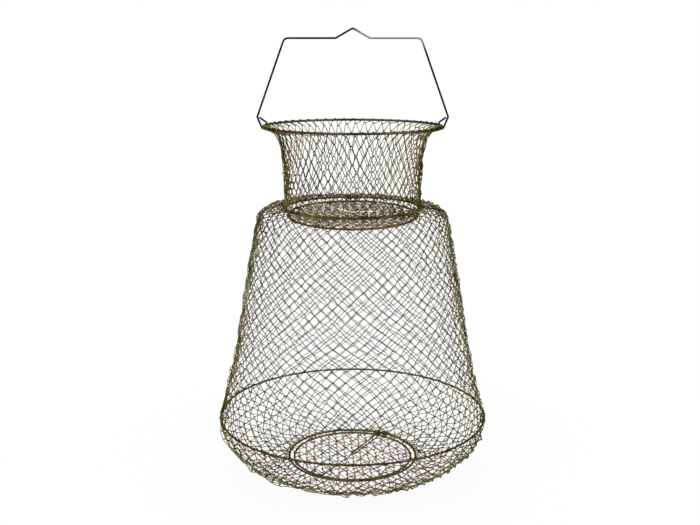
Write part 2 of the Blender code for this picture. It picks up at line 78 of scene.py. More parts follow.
SENSOR_WIDTH = 36.0
CAMERA_X = -0.0032
CAMERA_DISTANCE = 1.1778
CAMERA_OVER_RIM = 0.0944
CAMERA_PITCH = math.radians(12.46)
CAMERA_NEAR = 0.01
CAMERA_FAR = 20.0

# Wire diameters, and the gap kept between wires that touch. The stay and the springs are drawn
# thicker than their solids, and the mesh wire a little thicker than the real wire, because they look
# heavier than that in the photograph.
RIM_WIRE = 0.0030
RING_WIRE = 0.0024
BAIL_WIRE = 0.0024
MESH_WIRE = 0.00096
LOOP_WIRE = 0.0012
STAY_WIRE = 0.0012
STAY_SHOWN = 0.0017
SPRING_WIRE = 0.0010
SPRING_SHOWN = 0.0016
GAP = 0.0003

# Walls, as in the part, but for the collar, which turns down from a narrow lip under the rim, and
# for the body, which leaves the neck ring by a short step out and a little up
COLLAR_LIP = 0.0100
COLLAR_LIP_DROP = 0.0025
COLLAR_FLARE = 0.0180
NECK_STEP_OUT = 0.0030
NECK_STEP_UP = 0.0006
SHOULDER_OUT = 0.0345
SHOULDER_START = 0.0090
SHOULDER_RISE = 0.0020
SHOULDER_HEIGHT = 0.0180
BODY_WAIST = 0.0030
BODY_SWELL = 0.0012
BOWL_FLAT_OUT = 0.0105
BOWL_TOP_DROP = 0.0045
BOWL_SAG = 0.0050
BOWL_POWER = 1.8

# Bail, as in the part, but for its eye, which closes lower on the inner side
BAIL_HEIGHT = 0.1021
PEAK_RISE = 0.0114
PEAK_HALF_WIDTH = 0.0200
BAR_HALF_WIDTH = 0.0799
KNEE_OUT = 0.0078
KNEE_UP = 0.0110
PEAK_BEND = 0.0040
CORNER_BEND = 0.0065
KNEE_BEND = 0.0020
EYE_INNER_UP = 0.0046
EYE_END_DOWN = 0.0004

# Doors, as in the part, but for the springs' drawn coils and hairpin tips
HINGE_HALF_WIDTH = 0.0084
TRAP_TILT = math.radians(3.0)
DOOR_NET_THICKNESS = 0.0015
SPRING_TURNS = 2.5
SPRING_CLEARANCE = 0.0005
SPRING_PITCH = 0.00154
SPRING_TIP_HALF_WIDTH = 0.0018
SPRING_TIP_SHOWN = 0.0025
TRAP_SPRING_LEG = 0.0330
HATCH_SPRING_LEG = 0.0750
TRAP_STAY_LEFT = math.radians(131.0)
TRAP_STAY_RIGHT = math.radians(63.0)
TRAP_STAY_MIDDLE = (0.0, 0.004)
TRAP_STAY_ELBOW = ((0.030, 0.010), (0.036, 0.024))
TRAP_SPOKE = math.radians(-83.0)
HATCH_SPOKE = math.radians(-90.0)
HOOK_REACH = 0.0080

# A hairpin's legs come down to the net after a share of their length, or sooner if they are long
LEG_DOWN_SHARE = 0.6
LEG_DOWN_MOST = 0.0200
# The hatch's spoke stays up, over the spring's tip, for this share of its wire to either side
SPOKE_OVER_SHARE = 0.3

# From where to where round a ring's wire a hooked end and a door's mesh wire turn
HOOK_TURN = (math.radians(100.0), math.radians(-40.0))
MESH_END_TURN = (math.radians(150.0), math.radians(-60.0))

# Steps in a closed ring, in a door's ring, in half a loop or an eye, in a hook, in a tight turn, in
# a rounded corner and in one turn of a coil
RING_STEPS = 160
DOOR_RING_STEPS = 140
LOOP_STEPS = 14
HOOK_STEPS = 9
TIGHT_STEPS = 6
BEND_STEPS = 8
COIL_STEPS = 20

# Cells round each net and rows down it, and how far its knots stand in or out of its wall
COLLAR_CELLS = (54, 12)
BODY_CELLS = (58, 47)
BOTTOM_CELLS = (60, 17)
COLLAR_LIFT = 0.0006
BODY_LIFT = 0.0008
BOTTOM_LIFT = 0.0012

# By what share the collar's first row is taller than an even one, and by what share of its length
# the body's first rows are drawn up, and over about what share of its rows that comes about
COLLAR_STRETCH = 0.4
BODY_GATHER = 0.09
BODY_GATHER_FADE = 0.15

# The slow waves that a net's knots stray in, sideways and up or down. For each: how many go round
# the net, how far each row and the net's seed shift it, and its strength.
SIDEWAYS_WAVES = ((3, 0.21, 1, 1.0), (5, -0.33, 0, 0.7))
UPRIGHT_WAVES = ((4, 0.4, 2, 2.0),)

# A bend of a mesh wire, hooked in the next row: (round, along, out) in bend widths and depths and
# in wire radii out from the wall
HOOK = ((-1.0, 1.0, -2.0), (-0.42, 0.1, -1.2), (0.42, 0.1, 1.2), (1.0, 1.0, 2.0))
HOOK_BEND = 0.0010
HOOK_DEPTH = 0.0011
# The same where it is wrapped round a ring instead: (round, along, out) in cell widths and in
# distances between the middles of the two wires
WRAP = (
    (-0.27, 2.3, -0.8), (-0.21, 1.0, -1.0), (-0.15, 0.1, -1.0), (-0.08, -0.7, -0.7),
    (0.0, -1.0, 0.0),
    (0.08, -0.7, 0.7), (0.15, 0.1, 1.0), (0.21, 1.0, 1.0), (0.27, 2.3, 0.8),
)

# The doors' nets: cell width and row height, the share of a cell that knots stray over, and how far
# inside the middle of the ring's wire the mesh reaches and its wires are cut to be turned round it
TRAP_CELL = (0.0113, 0.0084)
HATCH_CELL = (0.0115, 0.0093)
DOOR_STRAY = 0.12
DOOR_MESH_INSET = 0.0005
DOOR_CUT_INSET = 0.0025
# A stretch of mesh wire with no more points than this is left out
SHORTEST_STRETCH = 3

# Each joint of the part by its name, for where the doors hang
JOINTS = {joint["name"]: joint for joint in frame["joints"]}

RIM_R = RIM_WIRE / 2
RING_R = RING_WIRE / 2
BAIL_R = BAIL_WIRE / 2
MESH_R = MESH_WIRE / 2
EYE_R = BAIL_R + RIM_R + GAP
LOOP_R = LOOP_WIRE / 2 + RING_R + GAP

# What all the plated wires share. Soft patches turn from the dark tone to the light one, and fine
# specks sway the tone, the roughness and the surface.
PATCH_EDGES = (0.30, 0.70)
TONE_STOPS = (0.2, 0.8)
NOISE_DETAIL = 2.0
PATCH_DETAIL = 3.0
SPECK_SCALE = 900.0
SPECK_SHARE = 0.25
SPECK_GLOSS = 0.12
SPECK_BUMP = 0.15
SPECK_DEPTH = 0.0001
# The tint of light that glances off
GLANCE_TINT = (1.0, 0.88, 0.62)
# Patches where the plating has gone coppery, and what their tone is multiplied by
TARNISH_SCALE = 22.0
TARNISH_EDGES = (0.56, 0.72)
TARNISH_SHARE = 0.8
TARNISH_TINT = (1.05, 0.78, 0.70)
# Where a highlight is painted onto the bail's bar: from its middle across, and from the first height to
# the second
HIGHLIGHT_ACROSS = (0.0, 0.010)
HIGHLIGHT_HEIGHTS = (-0.025, -0.012)
HIGHLIGHT_TONE = (0.270, 0.245, 0.225)

# The white floor, just under the basket, keeps some shadow near it and none further out
FLOOR_SIZE = 8.0
FLOOR_DROP = 0.0004
FLOOR_GREY = 0.88
FLOOR_ROUGHNESS = 0.9
FLOOR_WHITE_NEAR = 0.90
FLOOR_FADE = (0.10, 0.45)
# How strongly the white background lights the wires
WORLD_LIGHT = 0.55
# The lamps: name, place, width and watts
LAMPS = (
    ("key", (-1.3, -1.5, 1.1), 1.2, 26.0),
    ("fill", (1.6, -1.1, 0.5), 1.4, 12.0),
    ("top", (0.2, 0.6, 1.6), 1.4, 14.0),
)


def node(tree, kind, **inputs):
    """A shader node with its named inputs set to values or linked to sockets."""
    made = tree.nodes.new(kind)
    for name, value in inputs.items():
        socket = made.inputs[name.replace("_", " ")]
        if isinstance(value, bpy.types.NodeSocket):
            tree.links.new(value, socket)
        else:
            socket.default_value = value
    return made


def noise(tree, place, scale, detail=NOISE_DETAIL):
    return node(tree, "ShaderNodeTexNoise", Vector=place, Scale=scale, Detail=detail).outputs["Fac"]


def ramped(tree, value, low, high, start=0.0, end=1.0, kind="LINEAR"):
    """A number that goes from start to end while a value goes from low to high."""
    ramp = node(tree, "ShaderNodeMapRange", Value=value, From_Min=low, From_Max=high)
    ramp.inputs["To Min"].default_value = start
    ramp.inputs["To Max"].default_value = end
    ramp.interpolation_type = kind
    return ramp.outputs["Result"]


def combined(tree, operation, first, second):
    """One number from two."""
    maths = tree.nodes.new("ShaderNodeMath")
    maths.operation = operation
    tree.links.new(first, maths.inputs[0])
    tree.links.new(second, maths.inputs[1])
    return maths.outputs[0]


def coloured(tree, share, first, second, blend="MIX"):
    """A share of one colour mixed into another, or multiplied with it."""
    mix = tree.nodes.new("ShaderNodeMix")
    mix.data_type = "RGBA"
    mix.blend_type = blend
    tree.links.new(share, mix.inputs["Factor"])
    tree.links.new(first, mix.inputs[6])
    mix.inputs[7].default_value = (*second, 1.0)
    return mix.outputs[2]


def wire_metal(name, dark, light, patch, roughness, edge):
    """Plated wire: two tones of one metal in soft patches and fine specks, with a worn gloss.

    patch is the size of the patches, and edge is how bright the metal turns where it is seen at a
    slant.
    """
    mat = bpy.data.materials.new(name)
    mat.use_nodes = True
    tree = mat.node_tree
    shader = tree.nodes["Principled BSDF"]
    place = node(tree, "ShaderNodeTexCoord").outputs["Object"]
    patches = ramped(tree, noise(tree, place, 1 / patch, PATCH_DETAIL), *PATCH_EDGES)
    specks = noise(tree, place, SPECK_SCALE)
    mixed = node(tree, "ShaderNodeMix", Factor=SPECK_SHARE, A=patches, B=specks)
    tones = node(tree, "ShaderNodeValToRGB", Fac=mixed.outputs["Result"])
    for element, stop, tone in zip(tones.color_ramp.elements, TONE_STOPS, (dark, light)):
        element.position = stop
        element.color = (*tone, 1.0)
    worn = ramped(tree, noise(tree, place, TARNISH_SCALE), *TARNISH_EDGES, end=TARNISH_SHARE)
    colour = coloured(tree, worn, tones.outputs["Color"], TARNISH_TINT, "MULTIPLY")
    tree.links.new(colour, shader.inputs["Base Color"])
    gloss = ramped(tree, specks, 0.0, 1.0, roughness - SPECK_GLOSS, roughness + SPECK_GLOSS)
    tree.links.new(gloss, shader.inputs["Roughness"])
    bump = node(tree, "ShaderNodeBump", Height=specks, Strength=SPECK_BUMP, Distance=SPECK_DEPTH)
    tree.links.new(bump.outputs["Normal"], shader.inputs["Normal"])
    shader.inputs["Metallic"].default_value = 1.0
    shader.inputs["Specular Tint"].default_value = (*(edge * share for share in GLANCE_TINT), 1.0)
    return mat


def paint_highlight(mat, tone, across, heights):
    """Brighten a wire towards +X and between two heights: a painted highlight in its colour."""
    tree = mat.node_tree
    shader = tree.nodes["Principled BSDF"]
    place = node(tree, "ShaderNodeTexCoord").outputs["Object"]
    axes = node(tree, "ShaderNodeSeparateXYZ", Vector=place)
    sideways = ramped(tree, axes.outputs["X"], *across)
    up = ramped(tree, axes.outputs["Z"], *heights)
    plated = shader.inputs["Base Color"].links[0].from_socket
    colour = coloured(tree, combined(tree, "MULTIPLY", sideways, up), plated, tone)
    tree.links.new(colour, shader.inputs["Base Color"])


# The metals. The dark one is the trap door's spoke, the springs' one is also that of the hinge loops
# and the hatch's spoke, and the brass is the ferrule on the hatch's ring.
MESH_METAL = wire_metal("mesh wire", dark=(0.028, 0.025, 0.007), light=(0.195, 0.172, 0.058),
                        patch=0.030, roughness=0.42, edge=0.50)
DOOR_METAL = wire_metal("door mesh wire", dark=(0.044, 0.034, 0.009), light=(0.280, 0.215, 0.070),
                        patch=0.020, roughness=0.42, edge=0.50)
RING_METAL = wire_metal("ring wire", dark=(0.030, 0.025, 0.013), light=(0.110, 0.092, 0.048),
                        patch=0.040, roughness=0.38, edge=0.40)
RIM_METAL = wire_metal("rim wire", dark=(0.026, 0.022, 0.013), light=(0.100, 0.086, 0.052),
                       patch=0.040, roughness=0.38, edge=0.40)
DARK_METAL = wire_metal("dark wire", dark=(0.014, 0.011, 0.006), light=(0.060, 0.049, 0.028),
                        patch=0.030, roughness=0.38, edge=0.25)
BAIL_METAL = wire_metal("bail wire", dark=(0.005, 0.0045, 0.0035), light=(0.018, 0.0155, 0.012),
                        patch=0.030, roughness=0.40, edge=0.07)
BRASS_METAL = wire_metal("brass wire", dark=(0.150, 0.110, 0.038), light=(0.520, 0.420, 0.200),
                         patch=0.012, roughness=0.36, edge=0.90)
STAY_METAL = wire_metal("stay wire", dark=(0.600, 0.520, 0.330), light=(0.900, 0.830, 0.600),
                        patch=0.020, roughness=0.45, edge=1.0)
SPRING_METAL = wire_metal("spring wire", dark=(0.034, 0.027, 0.009), light=(0.130, 0.102, 0.038),
                          patch=0.012, roughness=0.36, edge=0.30)
# The right half of the bail's bar gets a painted highlight in its colour
paint_highlight(BAIL_METAL, HIGHLIGHT_TONE, HIGHLIGHT_ACROSS, HIGHLIGHT_HEIGHTS)


def tubes(name, paths, diameter, mat, body, nodes, closed=False, resolution=1):
    """Round wires along lines of points, as one mesh that rides on a body for some CAD nodes."""
    curve = bpy.data.curves.new(name, "CURVE")
    curve.dimensions = "3D"
    curve.bevel_depth = diameter / 2
    curve.bevel_resolution = resolution
    curve.use_fill_caps = not closed
    for path in paths:
        spline = curve.splines.new("POLY")
        spline.points.add(len(path) - 1)
        spline.points.foreach_set("co", [c for point in path for c in (*point, 1.0)])
        spline.use_cyclic_u = closed
    source = bpy.data.objects.new(name, curve)
    bpy.context.scene.collection.objects.link(source)
    evaluated = source.evaluated_get(bpy.context.evaluated_depsgraph_get())
    mesh = bpy.data.meshes.new_from_object(evaluated)
    bpy.data.objects.remove(source)
    bpy.data.curves.remove(curve)
    mesh.name = name
    mesh.materials.clear()
    mesh.materials.append(mat)
    piece = bpy.data.objects.new(name, mesh)
    bpy.context.scene.collection.objects.link(piece)
    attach(piece, body)
    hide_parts(*nodes)
    return piece


def ring_of(name, wire_radius=RING_R):
    """The radius and height of the middle of a ring's wire, from its CAD node."""
    low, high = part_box(name)
    return (high[0] - low[0]) / 2 - wire_radius, (low[2] + high[2]) / 2


RIM_RADIUS, RIM_Z = ring_of("rim_ring", RIM_R)
NECK_RADIUS, NECK_Z = ring_of("neck_ring")
GIRTH_RADIUS, GIRTH_Z = ring_of("girth_ring")
FRAME_RADIUS, FRAME_Z = ring_of("hatch_frame_ring")


def polar(radius, azimuth):
    return (radius * math.cos(azimuth), radius * math.sin(azimuth))


def circle(radius, height, steps=RING_STEPS):
    return [(*polar(radius, 2 * math.pi * step / steps), height) for step in range(steps)]


def arc(centre, radius, start, end, steps):
    """Points in a plane from angle start to angle end, both included."""
    turns = [start + (end - start) * step / steps for step in range(steps + 1)]
    return [(centre[0] + radius * math.cos(t), centre[1] + radius * math.sin(t)) for t in turns]


class Profile:
    """A net's wall as a line of (radius, height) points, measured by length along it."""

    def __init__(self, points):
        self.points = [Vector(point) for point in points]
        self.marks = [0.0]
        for before, after in zip(self.points, self.points[1:]):
            self.marks.append(self.marks[-1] + (after - before).length)
        self.length = self.marks[-1]

    def at(self, along):
        """The point that far along, carried on straight past either end, and its direction."""
        index = bisect.bisect_right(self.marks, along) - 1
        index = max(0, min(index, len(self.points) - 2))
        start, end = self.points[index], self.points[index + 1]
        direction = (end - start).normalized()
        return start + direction * (along - self.marks[index]), direction

    def place(self, turn, along, out):
        """A point in space, out from the wall by a small distance."""
        point, direction = self.at(along)
        radius = point.x - direction.y * out
        height = point.y + direction.x * out
        return (*polar(radius, turn), height)


def collar_profile(steps=60):
    """In along a narrow lip under the rim, and then ever steeper down to the neck ring."""
    flare, depth = RIM_RADIUS - NECK_RADIUS, RIM_Z - NECK_Z
    points = []
    for step in range(steps + 1):
        down = depth * (step / steps) ** 2
        out = (flare - COLLAR_LIP) * math.exp(-down / COLLAR_FLARE)
        out += COLLAR_LIP * math.exp(-down / COLLAR_LIP_DROP)
        points.append((NECK_RADIUS + out, RIM_Z - down))
    return Profile(points)


def body_profile(shoulder_steps=12, side_steps=40):
    """Out from the neck ring, over a rounded shoulder and down a slightly waisted side."""
    start = NECK_RADIUS + SHOULDER_START
    shoulder = NECK_RADIUS + SHOULDER_OUT
    side_z = NECK_Z + SHOULDER_RISE - SHOULDER_HEIGHT
    points = [(NECK_RADIUS, NECK_Z), (NECK_RADIUS + NECK_STEP_OUT, NECK_Z + NECK_STEP_UP)]
    for step in range(shoulder_steps + 1):
        turn = math.radians(90 * (1 - step / shoulder_steps))
        radius = start + (shoulder - start) * math.cos(turn)
        points.append((radius, side_z + SHOULDER_HEIGHT * math.sin(turn)))
    for step in range(1, side_steps + 1):
        share = step / side_steps
        radius = shoulder + (GIRTH_RADIUS - shoulder) * share
        radius -= BODY_WAIST * math.sin(math.pi * share)
        radius += BODY_SWELL * math.sin(2 * math.pi * share)
        points.append((radius, side_z + (GIRTH_Z - side_z) * share))
    return Profile(points)


def bowl_profile(steps=30):
    """Down and round from the girth ring, in and a little up to the hatch's frame ring."""
    top_z = GIRTH_Z - BOWL_TOP_DROP
    low_z = FRAME_Z - BOWL_SAG
    flat = FRAME_RADIUS + BOWL_FLAT_OUT
    points = [(GIRTH_RADIUS, GIRTH_Z)]
    for step in range(steps + 1):
        turn = math.radians(90 * step / steps)
        across = max(math.cos(turn), 0.0) ** (2 / BOWL_POWER)
        down = math.sin(turn) ** (2 / BOWL_POWER)
        points.append((flat + (GIRTH_RADIUS - flat) * across, top_z + (low_z - top_z) * down))
    points.append((FRAME_RADIUS, FRAME_Z))
    return Profile(points)


def bend(profile, knot, sign, pitch, ring_radius):
    """One bend of a mesh wire, hooked in the next row, or round a ring if that has a radius.

    sign is 1 where the wire bends at the top of its row and -1 where it bends at the bottom.
    """
    turn, along, lift = knot
    radius = profile.at(along)[0].x
    points = []
    for across, depth, out in WRAP if ring_radius else HOOK:
        if ring_radius:
            reach = ring_radius + MESH_R
            sideways, down, away = across * pitch, depth * reach, out * reach
        else:
            sideways, down, away = across * HOOK_BEND / radius, depth * HOOK_DEPTH - MESH_R, out * MESH_R
        points.append(profile.place(turn + sideways, along + sign * down, sign * away + lift))
    return points


def stretched_above(share):
    """How far down the collar a row lies: the upper rows hang open and the lower ones are slack."""
    return share * (1 + COLLAR_STRETCH - COLLAR_STRETCH * share)


def gathered_above(share):
    """How far down the body a row lies: the first rows are drawn together on the shoulder."""
    return (1 + BODY_GATHER) * share - BODY_GATHER * (1 - math.exp(-share / BODY_GATHER_FADE))


def even(share):
    """How far down the bottom net a row lies: all its rows are of one height."""
    return share


def swell(waves, turn, row, seed):
    """How far some slow waves carry a knot, by where it is round the net and in which row."""
    return sum(size * math.sin(count * turn + shift * row + phase * seed)
               for count, shift, phase, size in waves)


def net(profile, cells, spacing, rings, seed, lift, start=0.0, stray=0.06, wave=0.11):
    """The closed zigzag wires of a net, each hooked into the one above and the one below.

    Spacing gives how far down each row lies, rings holds the wire radii of the rings above and
    below, and start turns the net by a share of a cell. Knots stray by a share of a cell, at random
    and in slow waves, and stand in or out of the wall, spread by lift.
    """
    chance = random.Random(seed)
    columns, rows = cells
    pitch = 2 * math.pi / columns
    knots = []
    for row in range(rows + 1):
        inner = 0.0 if row in (0, rows) else 1.0
        along = profile.length * spacing(row / rows)
        height = profile.length * spacing((row + 1) / rows) - along
        line = []
        for column in range(columns):
            turn = (column + start + 0.5 * (row % 2)) * pitch
            sideways = wave * swell(SIDEWAYS_WAVES, turn, row, seed) + stray * chance.uniform(-1, 1)
            turn += inner * pitch * sideways
            down = wave * swell(UPRIGHT_WAVES, turn, row, seed) + stray * chance.uniform(-1, 1)
            line.append((turn, along + inner * height * down, inner * chance.gauss(0, lift)))
        knots.append(line)
    paths = []
    for row in range(rows):
        path = []
        for column in range(columns):
            path += bend(profile, knots[row][column], 1, pitch, rings[0] if row == 0 else 0.0)
            below = column + row % 2
            turn, along, out = knots[row + 1][below % columns]
            turn += 2 * math.pi * (below // columns)
            last = row == rows - 1
            path += bend(profile, (turn, along, out), -1, pitch, rings[1] if last else 0.0)
        paths.append(path)
    return paths


def rounded(corners, bends):
    """A line in a plane through its corners, each inner one rounded to its bend radius."""
    points = [corners[0]]
    for before, corner, after, radius in zip(corners, corners[1:], corners[2:], bends):
        corner = Vector(corner)
        into = (Vector(before) - corner).normalized()
        out = (Vector(after) - corner).normalized()
        half = into.angle(out) / 2
        centre = corner + (into + out).normalized() * radius / math.sin(half)
        first = corner + into * radius / math.tan(half) - centre
        start = math.atan2(first.y, first.x)
        side = -1 if into.x * out.y > into.y * out.x else 1
        points += arc(centre, radius, start, start + side * (math.pi - 2 * half), BEND_STEPS)
    points.append(corners[-1])
    return points


def bail_line():
    """The bail's whole wire, from the end of one eye to the end of the other."""
    bar_z = RIM_Z + BAIL_HEIGHT
    knee = (RIM_RADIUS + KNEE_OUT, RIM_Z + KNEE_UP)
    corners = [(-PEAK_HALF_WIDTH, bar_z), (0.0, bar_z + PEAK_RISE), (PEAK_HALF_WIDTH, bar_z)]
    corners += [(BAR_HALF_WIDTH, bar_z), knee]
    reach = math.hypot(KNEE_OUT, KNEE_UP)
    touch = math.atan2(KNEE_UP, KNEE_OUT) - math.acos(EYE_R / reach)
    under = arc((RIM_RADIUS, RIM_Z), EYE_R, touch, -math.pi, LOOP_STEPS)
    corners.append(under[0])
    line = rounded(corners, [PEAK_BEND, PEAK_BEND, CORNER_BEND, KNEE_BEND])
    # The right half starts at the middle of the peak's bend
    peak = 1 + BEND_STEPS // 2
    inner = (RIM_RADIUS - EYE_R, RIM_Z + EYE_INNER_UP)
    right = line[peak:-1] + under + [inner, (knee[0] - BAIL_WIRE, knee[1] - EYE_END_DOWN)]
    left = [(-out, up) for out, up in reversed(right[1:])]
    return [(out, 0.0, up) for out, up in left + right]


class Door:
    """A door's own frame: X along its hinge, the door towards -Y, and the middle of its ring."""

    def __init__(self, joint, ring, tilt):
        found = JOINTS[joint]
        axis = -Vector(found["axis"])
        upright = Vector((0.0, 0.0, 1.0))
        turn = Matrix((axis, upright.cross(axis), upright)).transposed().to_4x4()
        self.matrix = Matrix.Translation(found["pos_m"]) @ turn @ Matrix.Rotation(tilt, 4, "X")
        low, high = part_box(ring)
        self.centre = self.matrix.inverted() @ ((Vector(low) + Vector(high)) / 2)
        self.radius = (high[0] - low[0]) / 2 - RING_R

    def hinge(self, points):
        """Points given about the hinge, in space."""
        return [tuple(self.matrix @ Vector(point)) for point in points]

    def middle(self, points):
        """Points given about the middle of the door's ring, in space."""
        return [tuple(self.matrix @ (self.centre + Vector(point))) for point in points]


def on_net(point, diameter):
    """A point of a wire that lies on its door's net."""
    return (point[0], point[1], DOOR_NET_THICKNESS / 2 + GAP + diameter / 2)


def hook_points(azimuth, radius, diameter):
    """The end of a wire that hooks over its door's ring, from inside outwards."""
    around = RING_R + GAP + diameter / 2
    turns = arc((radius, 0.0), around, *HOOK_TURN, HOOK_STEPS)
    return [(*polar(out, azimuth), up) for out, up in turns]


def hinge_loop(door, side):
    """A closed loop round the fixed ring and the door's, on one side of the hinge's middle."""
    at_door = math.sqrt(door.radius**2 - HINGE_HALF_WIDTH**2)
    door_y, door_z = door.centre.y + at_door, door.centre.z
    lean = math.atan2(-door_y, door_z)
    ends = arc((0.0, 0.0), LOOP_R, lean + math.pi, lean + 2 * math.pi, LOOP_STEPS)
    ends += arc((door_y, door_z), LOOP_R, lean, lean + math.pi, LOOP_STEPS)
    return door.hinge([(side * HINGE_HALF_WIDTH, y, z) for y, z in ends])


def spring_line(door, leg_length):
    """Two coils round the fixed ring and a hairpin that presses on the door."""
    coil_r = RING_R + SPRING_CLEARANCE + SPRING_SHOWN / 2
    coil_end = HINGE_HALF_WIDTH - LOOP_WIRE / 2 - SPRING_SHOWN / 2 - GAP
    steps = round(COIL_STEPS * SPRING_TURNS)
    side = []
    for step in range(steps + 1):
        turn = math.pi / 2 - 2 * math.pi * SPRING_TURNS * (1 - step / steps)
        x = coil_end - SPRING_PITCH * SPRING_TURNS * step / steps
        side.append((x, *polar(coil_r, turn)))
    net_z = door.centre.z + DOOR_NET_THICKNESS / 2 + GAP + SPRING_SHOWN / 2
    down = min(leg_length * LEG_DOWN_SHARE, LEG_DOWN_MOST)
    side.append((side[-1][0], -coil_r, coil_r))
    side.append((SPRING_TIP_SHOWN, -down, net_z))
    tip_y = SPRING_TIP_SHOWN - SPRING_TIP_HALF_WIDTH - leg_length
    tip = arc((0.0, tip_y), SPRING_TIP_SHOWN, 0.0, -math.pi / 2, TIGHT_STEPS)
    side += [(x, y, net_z) for x, y in tip]
    other = [(-x, y, z) for x, y, z in reversed(side[:-1])]
    return door.hinge(side + other)


def flat_net(door, cell_width, row_height, seed):
    """The zigzag wires of a door's net, each end turned round the door's ring."""
    chance = random.Random(seed)
    reach = door.radius - DOOR_MESH_INSET
    rows = math.ceil(reach / row_height)
    columns = math.ceil(reach / cell_width) + 1
    half = DOOR_STRAY / 2
    knots = {}
    for row in range(-rows, rows + 1):
        for column in range(-columns, columns + 1):
            x = (column + 0.5 * (row % 2) + chance.uniform(-half, half)) * cell_width
            y = (row + chance.uniform(-half, half)) * row_height
            knots[row, column] = Vector((x, y))
    paths = []
    for row in range(-rows, rows):
        line = []
        for column in range(-columns, columns):
            for at, sign, out in ((knots[row, column], -1, 1), (knots[row + 1, column], 1, -1)):
                for across, depth, up in HOOK:
                    point = at + Vector((across * HOOK_BEND, -sign * (depth * HOOK_DEPTH - MESH_R)))
                    line.append((point.x, point.y, out * up * MESH_R))
        # A last point outside the ring closes the stretch that is being gathered
        inside = []
        for point in line + [(2 * reach, 0.0, 0.0)]:
            if math.hypot(point[0], point[1]) < door.radius - DOOR_CUT_INSET:
                inside.append(point)
            elif inside:
                if len(inside) > SHORTEST_STRETCH:
                    paths.append(with_ends(inside, door.radius))
                inside = []
    return [door.middle(path) for path in paths]


def with_ends(path, radius):
    """A flat mesh wire with each end carried on to the ring and turned round it."""
    for _ in range(2):
        azimuth = math.atan2(path[-1][1], path[-1][0])
        for out, up in arc((radius, 0.0), RING_R + MESH_R, *MESH_END_TURN, TIGHT_STEPS):
            path = path + [(*polar(out, azimuth), up)]
        path.reverse()
    return path


def folding_net(name, paths, body, sides=1):
    """A net's wires, as a mesh of its own."""
    piece = tubes(name, paths, MESH_WIRE, MESH_METAL, body, [name.replace("_mesh", "_net")],
                  closed=True, resolution=sides)
    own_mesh(piece)


def ring(name, body, mat, slot, radius, height, diameter=RING_WIRE):
    tubes(name + "_wire", [circle(radius, height)], diameter, mat, body, [name],
          closed=True, resolution=3)


def basket():
    """The bail, the four fixed rings and the three nets between them."""
    tubes("bail_wire", [bail_line()], BAIL_WIRE, BAIL_METAL, "bail", ["bail"], resolution=3)
    ring("rim_ring", "rim", RIM_METAL, "dark_wire", RIM_RADIUS, RIM_Z, RIM_WIRE)
    ring("neck_ring", "neck", RING_METAL, "ring_wire", NECK_RADIUS, NECK_Z)
    ring("girth_ring", "girth", RING_METAL, "ring_wire", GIRTH_RADIUS, GIRTH_Z)
    ring("hatch_frame_ring", "hatch_frame", RING_METAL, "ring_wire", FRAME_RADIUS, FRAME_Z)
    collar = net(collar_profile(), COLLAR_CELLS, stretched_above, (RIM_R, RING_R), seed=3,
                 lift=COLLAR_LIFT, start=0.5)
    folding_net("collar_mesh", collar, "rim")
    body = net(body_profile(), BODY_CELLS, gathered_above, (RING_R, RING_R), seed=5, lift=BODY_LIFT)
    folding_net("body_mesh", body, "neck", sides=0)
    bottom = net(bowl_profile(), BOTTOM_CELLS, even, (RING_R, RING_R), seed=8, lift=BOTTOM_LIFT)
    folding_net("bottom_mesh", bottom, "girth")


def door_pieces(body, door, cell, seed, spring_leg):
    """What both doors have: a ring, a net, two hinge loops and a spring."""
    tubes(f"{body}_ring_wire", [door.middle(circle(door.radius, 0.0, DOOR_RING_STEPS))], RING_WIRE,
          RING_METAL, body, [f"{body}_ring"], closed=True, resolution=3)
    tubes(f"{body}_mesh", flat_net(door, *cell, seed), MESH_WIRE, DOOR_METAL, body,
          [f"{body}_net"])
    for side, word in ((-1, "left"), (1, "right")):
        tubes(f"{body}_loop_{word}", [hinge_loop(door, side)], LOOP_WIRE, SPRING_METAL, body,
              [f"{body}_hinge_loop_{word}"], closed=True, resolution=2)
    tubes(f"{body}_spring_wire", [spring_line(door, spring_leg)], SPRING_SHOWN, SPRING_METAL, body,
          [f"{body}_spring"], resolution=2)


def trap_door():
    """The sprung door under the neck, with a bent stay across it and a spoke."""
    door = Door("trap_door_swing", "trap_door_ring", TRAP_TILT)
    door_pieces("trap_door", door, TRAP_CELL, seed=21, spring_leg=TRAP_SPRING_LEG)
    inside = door.radius - HOOK_REACH
    stay = hook_points(TRAP_STAY_LEFT, door.radius, STAY_WIRE)[::-1]
    stay.append(on_net(polar(inside, TRAP_STAY_LEFT), STAY_WIRE))
    stay.append(on_net(TRAP_STAY_MIDDLE, STAY_WIRE))
    stay += [on_net(point, STAY_WIRE) for point in TRAP_STAY_ELBOW]
    stay.append(on_net(polar(inside, TRAP_STAY_RIGHT), STAY_WIRE))
    stay += hook_points(TRAP_STAY_RIGHT, door.radius, STAY_WIRE)
    tubes("trap_door_stay_wire", [door.middle(stay)], STAY_SHOWN, STAY_METAL, "trap_door",
          ["trap_door_stay"], resolution=2)
    start_y = TRAP_STAY_MIDDLE[1] - STAY_WIRE - 2 * GAP
    spoke = [on_net((TRAP_STAY_MIDDLE[0], start_y), STAY_WIRE)]
    spoke.append(on_net(polar(inside, TRAP_SPOKE), STAY_WIRE))
    spoke += hook_points(TRAP_SPOKE, door.radius, STAY_WIRE)
    tubes("trap_door_spoke_wire", [door.middle(spoke)], STAY_WIRE, DARK_METAL, "trap_door",
          ["trap_door_spoke"], resolution=2)


